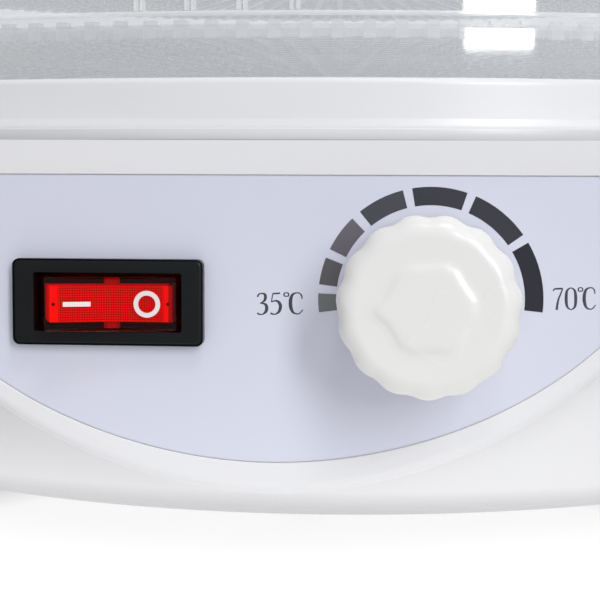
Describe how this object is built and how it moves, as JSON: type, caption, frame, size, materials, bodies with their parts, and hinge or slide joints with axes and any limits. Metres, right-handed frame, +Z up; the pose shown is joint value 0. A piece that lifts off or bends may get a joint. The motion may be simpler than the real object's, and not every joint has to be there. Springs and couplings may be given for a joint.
{
  "type": "food dehydrator",
  "caption": "Round food dehydrator: white base with heater, fan, rocker switch and thermostat knob under clear stacking trays and a vented lid.",
  "frame": {"origin": "on the upright axis of the trays, on the floor under the feet", "axes": "+Z up, -Y towards the control panel, +X to the right as seen from the front"},
  "size_m": [0.326, 0.3619, 0.2584],
  "materials": {
    "white_abs": "moulded ABS, satin gloss",
    "white_grille": "moulded ABS, satin gloss",
    "label_sheet": "printed polycarbonate sheet, matt",
    "black_nylon": "moulded nylon, fine texture",
    "red_lens": "clear red polycarbonate",
    "tin_brass": "stamped",
    "ivory_abs": "moulded ABS, gloss",
    "zinc_steel": "zinc plated",
    "turned_steel": "turned, bright",
    "copper": "drawn",
    "shield_aluminium": "rolled sheet",
    "heater_steel": "heat-darkened sheath",
    "ceramic": "unglazed steatite",
    "cutout_case": "drawn can",
    "fan_nylon": "moulded nylon",
    "motor_lacquer": "lacquered can",
    "black_rubber": "moulded rubber",
    "lead_silicone": "silicone sleeving",
    "clear_ps": "clear polystyrene, gloss"
  },
  "bodies": {
    "base": {"lower_housing": "white_abs", "bottom_cover": "white_abs", "cover_screws": "zinc_steel", "rubber_feet": "black_rubber", "upper_deck": "white_abs", "deck_screws": "zinc_steel", "control_fascia": "white_abs", "fascia_screws": "zinc_steel", "control_label": "label_sheet", "switch_housing": "black_nylon", "switch_terminals": "tin_brass", "thermostat_body": "zinc_steel", "thermostat_nut": "zinc_steel", "thermostat_capillary": "copper", "heat_shield": "shield_aluminium", "heating_element": "heater_steel", "heater_supports": "ceramic", "thermal_cutout": "cutout_case", "air_grille": "white_grille", "fan_motor": "motor_lacquer", "motor_bracket": "zinc_steel", "bracket_screws": "zinc_steel", "motor_screws": "zinc_steel", "cord_gland": "black_rubber", "terminal_block": "ceramic", "block_screws": "zinc_steel", "internal_leads": "lead_silicone"},
    "rocker": {"switch_rocker": "red_lens"},
    "knob": {"thermostat_knob": "ivory_abs", "thermostat_shaft": "turned_steel"},
    "fan": {"fan_impeller": "fan_nylon", "motor_shaft": "turned_steel"},
    "tray_1": {"tray_1": "clear_ps"},
    "tray_2": {"tray_2": "clear_ps"},
    "tray_3": {"tray_3": "clear_ps"},
    "tray_4": {"tray_4": "clear_ps"},
    "tray_5": {"tray_5": "clear_ps"},
    "lid": {"lid": "clear_ps"}
  },
  "joints": [
    {"name": "rocker_tilt", "type": "hinge", "parent": "base", "child": "rocker", "pos_m": [-0.0259, -0.16185, 0.0484], "axis": [0, 0, -1], "range_deg": [0, 16]},
    {"name": "knob_turn", "type": "hinge", "parent": "base", "child": "knob", "pos_m": [0.0257, -0.165, 0.0491], "axis": [0, 1, 0], "range_deg": [0, 186]},
    {"name": "fan_spin", "type": "hinge", "parent": "base", "child": "fan", "pos_m": [0, 0, 0.047], "axis": [0, 0, 1], "continuous": true},
    {"name": "tray_1_lift", "type": "slide", "parent": "base", "child": "tray_1", "axis": [0, 0, 1], "range_m": [0, 0.06]},
    {"name": "tray_2_lift", "type": "slide", "parent": "tray_1", "child": "tray_2", "axis": [0, 0, 1], "range_m": [0, 0.06]},
    {"name": "tray_3_lift", "type": "slide", "parent": "tray_2", "child": "tray_3", "axis": [0, 0, 1], "range_m": [0, 0.06]},
    {"name": "tray_4_lift", "type": "slide", "parent": "tray_3", "child": "tray_4", "axis": [0, 0, 1], "range_m": [0, 0.06]},
    {"name": "tray_5_lift", "type": "slide", "parent": "tray_4", "child": "tray_5", "axis": [0, 0, 1], "range_m": [0, 0.06]},
    {"name": "lid_lift", "type": "slide", "parent": "tray_5", "child": "lid", "axis": [0, 0, 1], "range_m": [0, 0.06]}
  ]
}
